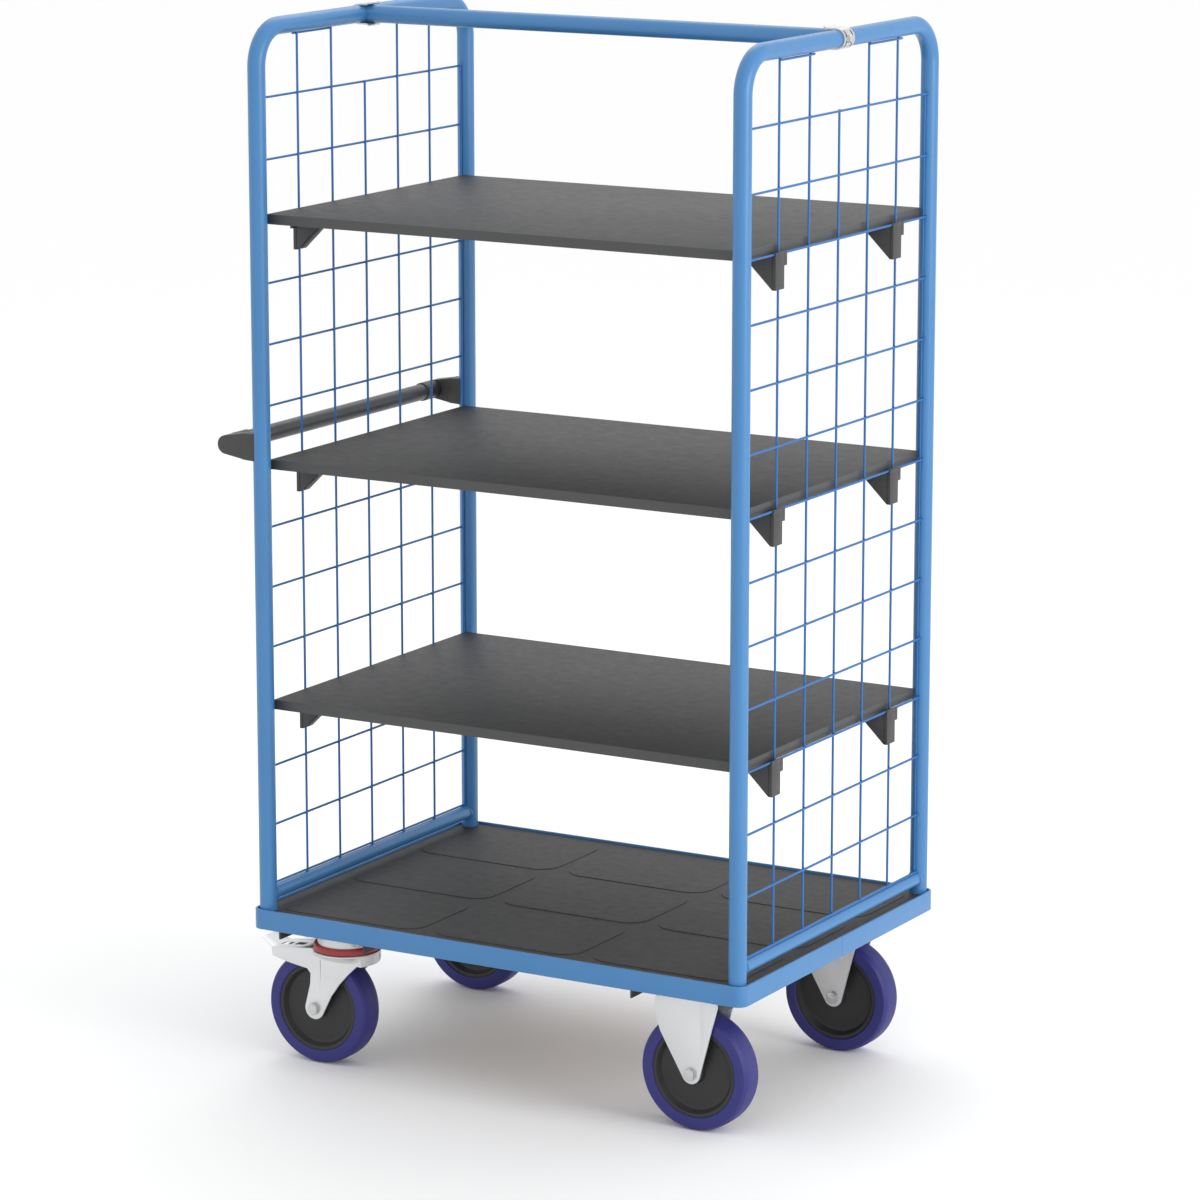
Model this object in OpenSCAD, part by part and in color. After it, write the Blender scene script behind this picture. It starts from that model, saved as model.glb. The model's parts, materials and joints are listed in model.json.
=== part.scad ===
// Shelf trolley: a load deck on four casters, a meshed tube frame at each end,
// a tie bar across the top, three shelves and a push handle.
// Origin: on the floor under the middle of the deck. +X is the end away from the push
// handle, +Z is up.

/* [Overall] */
// Height from the floor to the top of the end tubes
total_h = 1800; // [1700:1:1900]
// Length of the deck frame
deck_l = 957; // [940:1:980]
// Width of the deck frame
deck_w = 700; // [690:1:720]
// Height of the top edge of the deck frame
deck_top = 283; // [281:1:285]

/* [Deck] */
// Height of the deck frame's upright leg
rim_h = 35; // [33:1:38]
// Thickness of the deck frame's steel
rim_t = 4; // [3:0.5:5]
// Width of the ledge that the deck board lies on
ledge_w = 30; // [24:1:36]
// Outer corner radius of the deck frame
rim_r = 18; // [12:1:22]
// Thickness of the deck board
board_t = 21; // [18:1:22]
// Thickness of the rubber mat without its pads
mat_t = 6; // [5:0.5:7]
// Height of the mat's raised pads
pad_h = 1; // [0.5:0.1:1.5]

/* [End frames] */
// Diameter of the frame tube
tube_d = 30; // [28:1:32]
// Wall of the frame tube
tube_wall = 2; // [1.5:0.5:3]
// Distance between the two end frames, centre to centre
frame_l = 914; // [908:1:918]
// Distance between the two posts of one end frame, centre to centre
frame_w = 658; // [656:1:664]
// Centre-line radius of the top bends
bend_r = 65; // [50:1:80]
// Diameter of the cross tube at the foot of each end frame
foot_d = 24; // [20:1:26]
// Height of the foot tube's centre
foot_z = 306; // [303:1:312]

/* [Wire mesh] */
// Wire diameter
wire_d = 4; // [3:0.5:4]
// Pitch of the mesh, both ways
pitch = 103.8; // [103:0.1:104]
// Height of the lowest full row of the mesh
row_z = 422.5; // [420:0.5:425]

/* [Shelves] */
// Thickness of a shelf
shelf_t = 17; // [15:1:19]
// Length of a shelf
shelf_l = 906; // [890:1:906]
// Width of a shelf
shelf_w = 622; // [600:1:624]

/* [Push handle] */
// Height of the handle bar's centre
handle_z = 1084; // [1060:1:1120]
// Distance of the handle bar outwards from the posts
handle_out = 65; // [55:1:75]
// Diameter of the handle bar
handle_d = 29; // [26:1:30]

/* [Casters] */
// Wheel diameter
wheel_d = 200; // [196:1:200]
// Wheel width
wheel_w = 50; // [44:1:50]
// Total height of a caster
caster_h = 244; // [243:1:245]
// Distance of each caster's plate from the middle of the deck, lengthwise
caster_x = 347.5; // [340:0.5:350]
// Distance of each wheel from the middle of the deck, across
caster_y = 254; // [248:1:258]
// Trail of the swivel casters
trail = 46.5; // [44:0.5:48]

/* [Hidden] */
$fn = 64;
wide = 2000; // longer than any cut needs
fit = 0.05; // radial clearance of a pin in its hole

blue = [0.16, 0.38, 0.66];
anthracite = [0.09, 0.095, 0.10];
zinc = [0.78, 0.79, 0.80];
black_plastic = [0.06, 0.06, 0.065];
tyre_blue = [0.16, 0.16, 0.42];
seal_red = [0.60, 0.07, 0.06];
black_paint = [0.04, 0.04, 0.042];

post_x = frame_l / 2;
post_y = frame_w / 2;
tube_r = tube_d / 2;
top_z = total_h - tube_r;
rim_z = deck_top - rim_h;
ledge_z = rim_z + rim_t;
board_top = ledge_z + board_t;
plate_z = caster_h;
axle_z = wheel_d / 2;
wire_r = wire_d / 2;
wire_gap = 0.05; // keeps crossing wires separate solids
row_x = post_x + wire_d + wire_gap;
rows = 13;
shelf_rows = [2, 6, 10];

// ---------- helpers ----------

// Rectangle with round corners, centred
module round_rect(l, w, r) {
    square([l - 2 * r, w], center = true);
    square([l, w - 2 * r], center = true);
    for (sx = [-1, 1], sy = [-1, 1])
        translate([sx * (l / 2 - r), sy * (w / 2 - r)]) circle(r = r);
}

// Cylinder along X, Y or Z between two values on that axis
module rod_x(x0, x1, r) translate([x0, 0, 0]) rotate([0, 90, 0]) cylinder(h = x1 - x0, r = r);
module rod_y(y0, y1, r) translate([0, y1, 0]) rotate([90, 0, 0]) cylinder(h = y1 - y0, r = r);

// Hexagon along Y, flats apart by s
module hex_y(y0, y1, s) {
    translate([0, y1, 0]) rotate([90, 0, 0]) cylinder(h = y1 - y0, r = s / sqrt(3), $fn = 6);
}

// Places its children at the four posts
module at_posts() {
    for (sx = [-1, 1], sy = [-1, 1]) translate([sx * post_x, sy * post_y, 0]) children();
}

// ---------- deck ----------

// Steel angle frame: an upright leg round the edge and a ledge under the board
module deck_frame() {
    inner_l = deck_l - 2 * rim_t;
    inner_w = deck_w - 2 * rim_t;
    color(blue) difference() {
        translate([0, 0, rim_z]) linear_extrude(rim_h) round_rect(deck_l, deck_w, rim_r);
        translate([0, 0, ledge_z]) linear_extrude(rim_h)
            round_rect(inner_l, inner_w, rim_r - rim_t);
        translate([0, 0, rim_z - 1]) linear_extrude(rim_h)
            square([inner_l - 2 * ledge_w, inner_w - 2 * ledge_w], center = true);
        at_deck_screws() translate([0, 0, -1]) cylinder(h = deck_screw_l, r = deck_screw_r + fit);
    }
}

// Outline of board and mat: inside the frame, cut round the posts
module deck_sheet(thick, gap) {
    l = deck_l - 2 * rim_t - 2 * gap;
    w = deck_w - 2 * rim_t - 2 * gap;
    difference() {
        linear_extrude(thick) round_rect(l, w, rim_r - rim_t - gap);
        at_posts() translate([0, 0, -1]) cylinder(h = thick + 2, r = tube_r + 0.5);
    }
}

module deck_board() {
    color([0.36, 0.25, 0.16]) difference() {
        translate([0, 0, ledge_z]) deck_sheet(board_t, 0.5);
        at_deck_screws() cylinder(h = deck_screw_l + 1, r = deck_screw_r + fit);
    }
}

// Rubber mat with three rows of three raised pads
pad_l = 284;
pad_w = 198;
pad_step_x = 307;
pad_step_y = 221;
pad_r = 40;
module deck_mat() {
    color(anthracite) translate([0, 0, board_top]) {
        deck_sheet(mat_t, 1);
        for (j = [-1 : 1], i = [-1 : 1])
            translate([i * pad_step_x, j * pad_step_y, mat_t]) linear_extrude(pad_h)
                round_rect(pad_l, pad_w, pad_r);
    }
}

// Folded channel across the deck, open below, whose web carries two casters
rail_back = 100;
rail_front = 75;
rail_t = 4;
flange_z = 222.5;
module cross_rail(side) {
    web_y = deck_w / 2 - 20;
    flange_y = deck_w / 2 - 36;
    color(black_paint) translate([side * caster_x, 0, 0]) difference() {
        union() {
            translate([-rail_back, -web_y, plate_z])
                cube([rail_back + rail_front, 2 * web_y, rim_z - plate_z]);
            for (x = [-rail_back, rail_front - rail_t]) translate([x, -flange_y, flange_z])
                cube([rail_t, 2 * flange_y, rim_z - flange_z]);
        }
        for (c = [-1, 1]) translate([0, c * caster_y, plate_z - 1])
            at_plate_holes() cylinder(h = 10, r = plate_hole_r);
    }
}
module cross_rail_push() cross_rail(-1);
module cross_rail_far() cross_rail(1);

// Places its children at the screws through the ledge
module at_deck_screws() {
    inset_x = deck_l / 2 - rim_t - ledge_w / 2;
    inset_y = deck_w / 2 - rim_t - ledge_w / 2;
    for (x = [-180, 0, 180], s = [-1, 1]) translate([x, s * inset_y, rim_z]) children();
    for (y = [-160, 160], s = [-1, 1]) translate([s * inset_x, y, rim_z]) children();
}
// Pan-head screws that hold the board down onto the ledge
deck_screw_r = 2.5;
deck_screw_l = 16;
module deck_screws() {
    color(zinc) at_deck_screws() {
        cylinder(h = deck_screw_l, r = deck_screw_r);
        translate([0, 0, -3]) cylinder(h = 3 - fit, r = 2 * deck_screw_r);
        translate([0, 0, -1]) cylinder(h = 2, r = deck_screw_r);
    }
}

// ---------- end frames ----------

// Bent tube: two posts, two bends and the top, bored for the tie bar's bolt
module end_tube(side) {
    color(blue) translate([side * post_x, 0, 0]) difference() {
        hoop(tube_r, ledge_z);
        hoop(tube_r - tube_wall, ledge_z - 1);
        translate([0, 0, top_z]) rod_x(-tube_d, tube_d, tie_bolt_r + fit);
        if (side < 0) at_handle_screws() rod_x(-tube_d, 0, screw_r + fit);
    }
}
// A rod of radius r along the tube's centre line, from height z0
module hoop(r, z0) {
    for (s = [-1, 1]) {
        translate([0, s * post_y, z0]) cylinder(h = top_z - bend_r - z0, r = r);
        translate([0, s * (post_y - bend_r), top_z - bend_r])
            mirror([0, s > 0 ? 0 : 1, 0]) rotate([90, 0, 90])
                rotate_extrude(angle = 90) translate([bend_r, 0]) circle(r = r);
    }
    translate([0, 0, top_z]) rod_y(bend_r - post_y, post_y - bend_r, r);
}
module end_tube_push() end_tube(-1);
module end_tube_far() end_tube(1);

// Cross tube at the foot, coped onto the posts
module foot_tube(side) {
    color(blue) translate([side * post_x, 0, 0]) difference() {
        translate([0, 0, foot_z]) rod_y(-post_y, post_y, foot_d / 2);
        translate([0, 0, foot_z]) rod_y(-wide, wide, foot_d / 2 - tube_wall);
        for (s = [-1, 1]) translate([0, s * post_y, foot_z - 30]) cylinder(h = 60, r = tube_r);
    }
}
module foot_tube_push() foot_tube(-1);
module foot_tube_far() foot_tube(1);

// Welded mesh: upright wires in the plane of the posts, rows on their outer side
module mesh(side) {
    foot_top = foot_z + foot_d / 2 + wire_gap;
    row_half = post_y - sqrt(tube_r * tube_r - pow(row_x - post_x - wire_r, 2)) - wire_gap;
    top_row_z = row_z + (rows - 1) * pitch;
    under_top = top_z - tube_r - wire_gap;
    color(blue) mirror([side > 0 ? 0 : 1, 0, 0]) {
        for (n = [-3 : 3]) {
            long = abs(n) == 1 || abs(n) == 2;
            translate([post_x, n * pitch, foot_top])
                cylinder(h = (long ? under_top : top_row_z + wire_r) - foot_top, r = wire_r);
        }
        for (k = [0 : rows - 1])
            translate([row_x, 0, row_z + k * pitch]) rod_y(-row_half, row_half, wire_r);
        translate([row_x, 0, foot_top + wire_r]) rod_y(-row_half, row_half, wire_r);
        for (s = [-1, 1]) translate([row_x, s * 1.5 * pitch, under_top - wire_r])
            rod_y(-pitch / 2 - 7, pitch / 2 + 7, wire_r);
    }
}
module mesh_push() mesh(-1);
module mesh_far() mesh(1);

// ---------- tie bar ----------

tie_bolt_r = 4;
clamp_t = 2.5;
clamp_w = 36;
plug_l = 30;
module tie_bar() {
    half = post_x;
    color(blue) translate([0, 0, top_z]) difference() {
        rod_x(-half, half, tube_r);
        rod_x(-wide, wide, tube_r - tube_wall);
        for (s = [-1, 1]) translate([s * post_x, 0, 0]) rod_y(-50, 50, tube_r);
    }
}
// Threaded plugs pressed into the ends of the tie bar
module tie_bar_plugs() {
    color(zinc) translate([0, 0, top_z]) for (s = [0, 1]) mirror([s, 0, 0]) difference() {
        rod_x(post_x - tube_r - plug_l, post_x - tube_r - 1, tube_r - tube_wall);
        rod_x(0, wide, tie_bolt_r + fit);
    }
}
// Strap bent round the outside of the top tube, its lips gripping the tie bar
module tie_clamp(side) {
    r_in = tube_r + 0.1;
    r_out = r_in + clamp_t;
    lip = 17;
    color(zinc) mirror([side > 0 ? 0 : 1, 0, 0]) translate([post_x, 0, top_z]) difference() {
        union() {
            rod_y(-clamp_w / 2, clamp_w / 2, r_out);
            translate([-lip, -clamp_w / 2, -r_out]) cube([lip, clamp_w, 2 * r_out]);
            for (s = [-1, 1]) translate([-lip, 0, s * (r_out - clamp_t)])
                rotate([0, s * 30, 0]) translate([-6, -clamp_w / 2, s > 0 ? 0 : -clamp_t])
                    cube([8, clamp_w, clamp_t]);
        }
        rod_y(-clamp_w, clamp_w, r_in);
        translate([-wide, -clamp_w, -r_in]) cube([wide, 2 * clamp_w, 2 * r_in]);
        rod_x(0, wide, tie_bolt_r + fit);
    }
}
module tie_clamp_push() tie_clamp(-1);
module tie_clamp_far() tie_clamp(1);
// Hex bolts through clamp and tube into the plugs
module tie_bolts() {
    seat = post_x + tube_r + 0.1 + clamp_t;
    color(zinc) translate([0, 0, top_z]) for (s = [0, 1]) mirror([s, 0, 0]) {
        rod_x(post_x - tube_r - plug_l + 5, seat + 1, tie_bolt_r);
        translate([seat + 0.05, 0, 0]) rotate([0, 90, 0]) rotate([0, 0, 30])
            cylinder(h = 4, r = 7, $fn = 6);
    }
}

// ---------- shelves ----------

edge_t = 2;
function shelf_z(n) = row_z + shelf_rows[n] * pitch - wire_r;
module shelf_board(n) {
    color(anthracite) translate([0, 0, shelf_z(n) + shelf_t / 2])
        cube([shelf_l - 2 * edge_t, shelf_w - 2 * edge_t, shelf_t], center = true);
}
module shelf_edge(n) {
    color(black_plastic) translate([0, 0, shelf_z(n)]) difference() {
        linear_extrude(shelf_t) square([shelf_l, shelf_w], center = true);
        translate([0, 0, -1]) linear_extrude(shelf_t + 2)
            square([shelf_l - 2 * edge_t, shelf_w - 2 * edge_t], center = true);
    }
}
module shelf_low() shelf_board(0);
module shelf_mid() shelf_board(1);
module shelf_top() shelf_board(2);
module shelf_edge_low() shelf_edge(0);
module shelf_edge_mid() shelf_edge(1);
module shelf_edge_top() shelf_edge(2);

// Moulded bracket: a gusset under the shelf, slit so that it straddles the upright wire,
// with a plate outside the mesh that hooks up behind the row wire
bracket_h = 55;
bracket_arm = 53;
bracket_y0 = -24;
bracket_y1 = 5.5;
tab_y1 = 16;
tab_h = 18;
hook_h = 5.5;
module bracket() {
    beside = wire_r + 0.4;
    outside = post_x + wire_r + 0.4;
    behind = row_x + wire_r + 0.3;
    face = behind + 2.2;
    difference() {
        translate([0, bracket_y1, 0]) rotate([90, 0, 0]) linear_extrude(bracket_y1 - bracket_y0)
            polygon([[face, -1], [face, -bracket_h], [outside, -bracket_h],
                     [outside - bracket_arm, -4], [outside - bracket_arm, 0],
                     [post_x - wire_r - 0.4, 0], [post_x - wire_r - 0.4, -1]]);
        translate([0, -beside, -wide / 2]) cube([outside, 2 * beside, wide]);
    }
    translate([outside, bracket_y1 - 1, -tab_h])
        cube([face - outside, tab_y1 - bracket_y1 + 1, tab_h - 1]);
    translate([behind, bracket_y0, -2]) cube([face - behind, tab_y1 - bracket_y0, 2 + hook_h]);
}
module brackets(n) {
    color(black_plastic) for (a = [0, 180], s = [-1, 1])
        rotate([0, 0, a]) translate([0, 2 * s * pitch, shelf_z(n) - 0.1]) bracket();
}
module brackets_low() brackets(0);
module brackets_mid() brackets(1);
module brackets_top() brackets(2);

// ---------- push handle ----------

handle_x = -(post_x + handle_out);
bracket_y = 14; // half the width of a handle bracket
socket = 8; // how far the bar sits in each bracket
bar_half = post_y - bracket_y + socket;
bar_wall = 3;
module handle_bar() {
    color(black_plastic) translate([handle_x, 0, handle_z]) difference() {
        rod_y(-bar_half, bar_half, handle_d / 2);
        rod_y(-wide, wide, handle_d / 2 - bar_wall);
    }
}
// Bracket: a saddle on the post that tapers out to the bar's end, with a sleeve round the bar
screw_r = 2.5;
screw_head_r = 5;
screw_seat = 14; // depth of plastic between the screw's head and the post
module at_handle_screws() {
    for (s = [-1, 1], z = [-12, 12]) translate([0, s * (post_y + 5), handle_z + z]) children();
}
module handle_bracket(side) {
    end_r = handle_d / 2 + 1.5;
    sleeve_r = handle_d / 2 + 2;
    sleeve_l = 40;
    root_h = 23;
    root_x = -post_x - tube_r + 4;
    seat_x = -post_x - tube_r - screw_seat;
    color(black_plastic) difference() {
        translate([0, side * post_y, handle_z]) {
            translate([handle_x, 0, 0]) rod_y(-bracket_y, bracket_y, end_r);
            translate([handle_x, -side * (bracket_y + sleeve_l / 2 - 1), 0])
                rod_y(-sleeve_l / 2, sleeve_l / 2, sleeve_r);
            translate([0, bracket_y, 0]) rotate([90, 0, 0]) linear_extrude(2 * bracket_y)
                polygon([[root_x, -root_h - 1], [root_x - 20, -root_h], [handle_x + 4, -end_r],
                         [handle_x, 0], [handle_x - 2, end_r], [root_x - 28, root_h],
                         [root_x, root_h]]);
        }
        translate([-post_x, side * post_y, 0]) cylinder(h = total_h, r = tube_r + fit);
        translate([handle_x, 0, handle_z]) rod_y(-bar_half - fit, bar_half + fit, handle_d / 2 + fit);
        at_handle_screws() rod_x(-deck_l, 0, screw_r + fit);
        at_handle_screws() rod_x(-deck_l, seat_x, screw_head_r + fit);
    }
}
module handle_bracket_front() handle_bracket(-1);
module handle_bracket_back() handle_bracket(1);
module handle_screws() {
    seat_x = -post_x - tube_r - screw_seat;
    color(zinc) at_handle_screws() {
        rod_x(seat_x - 3, -post_x - tube_r + 6, screw_r);
        rod_x(seat_x - 3, seat_x - fit, screw_head_r);
    }
}

// ---------- casters ----------

cheek_in = 29; // half the gap between the cheeks of a fork
cheek_t = 3.5;
plate_t = 4;
plate_l = 140;
plate_w = 110;
plate_hole_r = 5.5;
plate_bolt_r = 5;
hole_x = 105;
hole_y = 84;
axle_r = 6;
sleeve_r = 10;
tip_r = 17;
hub_r = 77;
hub_w = 46;
shoulder = 4;

// Places its children at the four holes of a caster's plate
module at_plate_holes() {
    for (sx = [-1, 1], sy = [-1, 1]) translate([sx * hole_x / 2, sy * hole_y / 2, 0]) children();
}
// Drilled plate at the top of a caster
module top_plate() {
    translate([0, 0, plate_z - plate_t]) difference() {
        linear_extrude(plate_t) round_rect(plate_l, plate_w, 10);
        translate([0, 0, -1]) at_plate_holes() cylinder(h = plate_t + 2, r = plate_hole_r);
    }
}

// Tyre with round shoulders, pressed on the hub
module tyre() {
    half = wheel_w / 2;
    r = wheel_d / 2;
    rotate([90, 0, 0]) rotate_extrude($fn = 128)
        polygon([[hub_r, -half], [r - shoulder, -half], [r - 0.8, -half + 6], [r, -half + 14],
                 [r, half - 14], [r - 0.8, half - 6], [r - shoulder, half], [hub_r, half]]);
}
// Moulded hub: rim, dished web and a boss round the axle sleeve
module hub() {
    half = hub_w / 2;
    boss = 27;
    rotate([90, 0, 0]) rotate_extrude($fn = 128)
        polygon([[sleeve_r + fit, -boss], [18, -boss], [22, -15], [62, -13], [71, -half],
                 [hub_r, -half], [hub_r, half], [71, half], [62, 13], [22, 15],
                 [18, boss], [sleeve_r + fit, boss]]);
}
// Axle bolt with its head and nut outside the cheeks, and the sleeve between them
module axle() {
    out = cheek_in + cheek_t;
    rod_y(-out - 0.05, out + 9, axle_r);
    hex_y(-out - 8, -out - 0.05, 19);
    difference() {
        hex_y(out + 0.05, out + 7, 19);
        rod_y(0, wide, axle_r + 0.02);
    }
    difference() {
        rod_y(-cheek_in, cheek_in, sleeve_r);
        rod_y(-wide, wide, axle_r + 0.02);
    }
}

// Angle, seen from c, at which a line from p touches a circle of radius r about c
function touch(p, c, r, side) = atan2(p[1] - c[1], p[0] - c[0]) + side * acos(r / norm(p - c));
// Points on a circle of radius r about c, from angle a0 to a1
function arc(c, r, a0, a1, n = 16) =
    [for (i = [0 : n]) let (a = a0 + (a1 - a0) * i / n) [c[0] + r * cos(a), c[1] + r * sin(a)]];

// Cheek outline of the fixed fork, about the axle: a wide root and a round tip
module fixed_cheek() {
    up = plate_z - plate_t - axle_z + 1;
    left = [-58, 66];
    right = [49, 120];
    from = touch(left, [0, 0], tip_r, 1);
    to = 360 + touch(right, [0, 0], tip_r, -1);
    difference() {
        polygon(concat([[49, up], [-66, up], [-68, 112], [-67, 92], left],
                       arc([0, 0], tip_r, from, to), [right]));
        circle(r = axle_r + fit);
    }
}
// A pair of cheeks, each the 2-D outline given
module cheeks() {
    for (s = [0, 1]) mirror([0, s, 0]) translate([0, cheek_in + cheek_t, 0])
        rotate([90, 0, 0]) linear_extrude(cheek_t) children();
}
module fixed_fork(y) {
    color(zinc) translate([caster_x, y, 0]) {
        top_plate();
        translate([0, 0, axle_z]) cheeks() fixed_cheek();
    }
}
module fixed_fork_front() fixed_fork(-caster_y);
module fixed_fork_back() fixed_fork(caster_y);
module fixed_axle_front() color(zinc) translate([caster_x, -caster_y, axle_z]) axle();
module fixed_axle_back() color(zinc) translate([caster_x, caster_y, axle_z]) mirror([0, 1, 0]) axle();
module fixed_hub_front() color(black_plastic) translate([caster_x, -caster_y, axle_z]) hub();
module fixed_hub_back() color(black_plastic) translate([caster_x, caster_y, axle_z]) hub();
module fixed_tyre_front() color(tyre_blue) translate([caster_x, -caster_y, axle_z]) tyre();
module fixed_tyre_back() color(tyre_blue) translate([caster_x, caster_y, axle_z]) tyre();

// Swivel caster, about its swivel axis; the wheel trails towards the push handle
crown_z = 203.5;
crown_t = 4;
crown_r = 59;
race_r = 50;
seal_r = 57;
seal_z = 208;
seal_h = 11;
king_r = 6;
module swivel_plate() {
    under = plate_z - plate_t;
    difference() {
        union() {
            top_plate();
            rotate_extrude($fn = 96)
                polygon([[king_r + fit, seal_z + 2], [16, seal_z + 2], [20, under - 4],
                         [race_r - 4, under - 4], [race_r - 4, seal_z + 4],
                         [race_r, seal_z + 4], [race_r, under + 1], [king_r + fit, under + 1]]);
        }
        cylinder(h = wide, r = king_r + fit);
    }
}
module swivel_seal() {
    difference() {
        translate([0, 0, seal_z]) cylinder(h = seal_h, r = seal_r, $fn = 96);
        translate([0, 0, seal_z - 1]) cylinder(h = seal_h + 2, r = race_r + 0.1, $fn = 96);
    }
}
// Pin through the crown and the plate, with a riveted head below
module kingpin() {
    cylinder_from(crown_z - 5, plate_z - 0.1, king_r);
    cylinder_from(crown_z - 6, crown_z - 0.4, 9.5);
}
module cylinder_from(z0, z1, r) translate([0, 0, z0]) cylinder(h = z1 - z0, r = r);

pivot_x = -80.5;
pivot_z = 193;
pivot_r = 3.5;
// Cheek outline of the swivel fork, about the swivel axis and the floor
module swivel_cheek() {
    tip = [-trail, axle_z];
    r = tip_r + 2;
    waist = [-55, 143];
    front = [-12, 126];
    top = crown_z + crown_t;
    from = touch(waist, tip, r, 1);
    to = touch(front, tip, r, -1);
    difference() {
        polygon(concat([[-50, top], [-86, 204], [-134, 197], [-132, 183], [-108, 177],
                        [-76, 172], [-61, 170], [-54, 162], waist],
                       arc(tip, r, from, to < from ? to + 360 : to),
                       [front, [5, 150], [23, 170], [49, 195], [49, top]]));
        translate(tip) circle(r = axle_r + fit);
        translate([pivot_x, pivot_z]) circle(r = pivot_r + fit);
    }
}
// Wall that closes the fork's front, below the crown's edge
module front_skirt() difference() {
    cylinder_from(crown_z - 17, crown_z + 1, crown_r);
    cylinder_from(crown_z - 18, crown_z + 2, crown_r - 3);
    translate([48 - wide, -wide / 2, crown_z - 20]) cube([wide, wide, 30]);
}
module swivel_fork() {
    difference() {
        union() {
            translate([0, 0, crown_z]) cylinder(h = crown_t, r = crown_r, $fn = 96);
            cheeks() swivel_cheek();
            front_skirt();
        }
        cylinder_from(0, plate_z, king_r + fit);
    }
}

// Brake lever: two ears on pivot studs, a slotted top and a raised toe
ear_in = 25.8;
ear_t = 2;
lever_t = 2.5;
lever_back = [-134, 197.5];
lever_front = [-64, 205.5];
toe_l = 30;
toe_half = 24;
toe_angle = 27;
module pedal() {
    run = lever_front - lever_back;
    slope = atan2(run[1], run[0]);
    half = ear_in + ear_t;
    difference() {
        union() {
            at_lever() rotate([0, -slope, 0])
                translate([0, -half, -lever_t]) cube([norm(run), 2 * half, lever_t]);
            at_lever() rotate([0, toe_angle, 0])
                translate([-toe_l, -toe_half, -lever_t]) cube([toe_l + 2, 2 * toe_half, lever_t]);
            for (s = [0, 1]) mirror([0, s, 0]) {
                translate([0, half, 0]) rotate([90, 0, 0]) linear_extrude(ear_t)
                    polygon([lever_back, [-118, 190], [-90, 187], [-72, 187], [-66, 194],
                             lever_front]);
                translate([pivot_x, 0, pivot_z])
                    rod_y(ear_in + 1, cheek_in + cheek_t - 0.5, pivot_r);
            }
        }
        translate([-108, -6, lever_back[1] - lever_t]) cube([30, 12, 12]);
    }
}
module at_lever() translate([lever_back[0], 0, lever_back[1]]) children();

// Curved shoe under the lever, clear of the tread while the brake is off
shoe_gap = 6.6;
shoe_t = 6;
shoe_half = 20;
shoe_from = 124;
shoe_sweep = 12;
module brake_shoe() {
    r = wheel_d / 2 + shoe_gap;
    stem_top = 196.4;
    difference() {
        union() {
            translate([-trail, shoe_half, axle_z]) rotate([90, 0, 0]) rotate([0, 0, shoe_from])
                linear_extrude(2 * shoe_half) sector(r + shoe_t, shoe_sweep);
            translate([-122, -shoe_half, stem_top - 12]) cube([8, 2 * shoe_half, 12]);
        }
        translate([-trail, 0, axle_z]) rod_y(-wheel_w, wheel_w, r);
    }
}
module sector(r, a) intersection() {
    circle(r = r);
    polygon([[0, 0], [2 * r, 0], [2 * r * cos(a), 2 * r * sin(a)]]);
}

module at_swivel(y) translate([-caster_x, y, 0]) children();
module at_wheel(y) translate([-caster_x - trail, y, axle_z]) children();
module swivel_plate_front() color(zinc) at_swivel(-caster_y) swivel_plate();
module swivel_plate_back() color(zinc) at_swivel(caster_y) swivel_plate();
module swivel_seal_front() color(seal_red) at_swivel(-caster_y) swivel_seal();
module swivel_seal_back() color(seal_red) at_swivel(caster_y) swivel_seal();
module kingpin_front() color(zinc) at_swivel(-caster_y) kingpin();
module kingpin_back() color(zinc) at_swivel(caster_y) kingpin();
module swivel_fork_front() color(zinc) at_swivel(-caster_y) swivel_fork();
module swivel_fork_back() color(zinc) at_swivel(caster_y) swivel_fork();
module swivel_axle_front() color(zinc) at_wheel(-caster_y) axle();
module swivel_axle_back() color(zinc) at_wheel(caster_y) mirror([0, 1, 0]) axle();
module swivel_hub_front() color(black_plastic) at_wheel(-caster_y) hub();
module swivel_hub_back() color(black_plastic) at_wheel(caster_y) hub();
module swivel_tyre_front() color(tyre_blue) at_wheel(-caster_y) tyre();
module swivel_tyre_back() color(tyre_blue) at_wheel(caster_y) tyre();
module pedal_front() color(zinc) at_swivel(-caster_y) pedal();
module pedal_back() color(zinc) at_swivel(caster_y) pedal();
module brake_shoe_front() color(black_plastic) at_swivel(-caster_y) brake_shoe();
module brake_shoe_back() color(black_plastic) at_swivel(caster_y) brake_shoe();

// Bolts that hold the four caster plates to the cross rails: flat heads on the rails'
// webs and nuts below the plates
bolt_head_r = 8.5;
nut_r = 9;
nut_h = 8;
module caster_bolts() {
    web_t = rim_z - plate_z;
    color(zinc) for (sx = [-1, 1], sy = [-1, 1]) translate([sx * caster_x, sy * caster_y, plate_z])
        at_plate_holes() {
            cylinder_from(-plate_t - nut_h - 2, web_t + 1, plate_bolt_r);
            cylinder_from(web_t + fit, web_t + 3.4, bolt_head_r);
            difference() {
                translate([0, 0, -plate_t - nut_h]) cylinder(h = nut_h - fit, r = nut_r, $fn = 6);
                cylinder_from(-plate_t - nut_h - 1, 0, plate_bolt_r + fit);
            }
        }
}

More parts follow.
